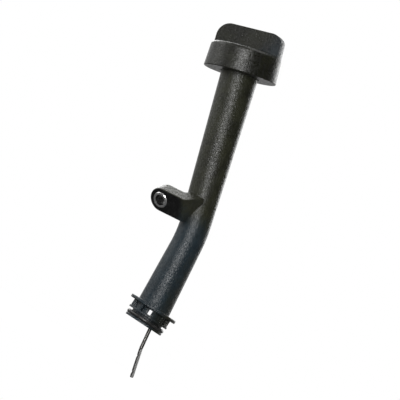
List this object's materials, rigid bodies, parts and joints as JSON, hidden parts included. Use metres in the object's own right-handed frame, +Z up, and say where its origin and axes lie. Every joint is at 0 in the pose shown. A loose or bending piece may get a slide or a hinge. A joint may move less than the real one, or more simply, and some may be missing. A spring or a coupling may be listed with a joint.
{
  "type": "oil filler tube with dipstick",
  "caption": "Bent black plastic oil filler tube of a small engine with a twist cap, side bracket ear, sealed spigot and a jointed dipstick.",
  "frame": {"origin": "centre of the flange's underside, where the tube seats on the crankcase", "axes": "+Z up the axis of the collar, away from the crankcase; the tube leans slightly from it and bends in the XZ plane and its upper part leans to -X; the bracket ear is on the -X side towards -Y"},
  "size_m": [0.075, 0.0452, 0.2196],
  "materials": {
    "tube_plastic": "satin",
    "cap_plastic": "satin",
    "insert_plastic": "satin",
    "seal_rubber": "matte",
    "zinc_steel": "satin",
    "stem_steel": "satin",
    "blade_steel": "satin"
  },
  "bodies": {
    "tube": {"filler_tube": "tube_plastic", "bracket_bush": "zinc_steel", "spigot_o_ring": "seal_rubber"},
    "carrier": {"swivel_pin": "zinc_steel", "swivel_washer": "zinc_steel", "dipstick_yoke": "zinc_steel", "pivot_pin": "zinc_steel"},
    "cap": {"cap_shell": "cap_plastic", "cap_insert": "insert_plastic", "cap_seal": "seal_rubber"},
    "stem": {"stem_eye": "zinc_steel", "dipstick_stem": "stem_steel", "blade_ferrule": "stem_steel", "dipstick_blade": "blade_steel"}
  },
  "joints": [
    {"name": "cap_lift", "type": "slide", "parent": "tube", "child": "carrier", "axis": [-0.2874, 0, 0.9578], "range_m": [0, 0.21]},
    {"name": "cap_turn", "type": "hinge", "parent": "carrier", "child": "cap", "pos_m": [-0.03356, 0, 0.14686], "axis": [0.2874, 0, -0.9578], "range_deg": [0, 65]},
    {"name": "stem_swing", "type": "hinge", "parent": "carrier", "child": "stem", "pos_m": [-0.03097, 0, 0.13824], "axis": [0, -1, 0], "range_deg": [0, 5.1]}
  ],
  "couplings": [
    {"joint": "stem_swing", "follows": "cap_lift", "rad_per_m": 0.41888}
  ]
}
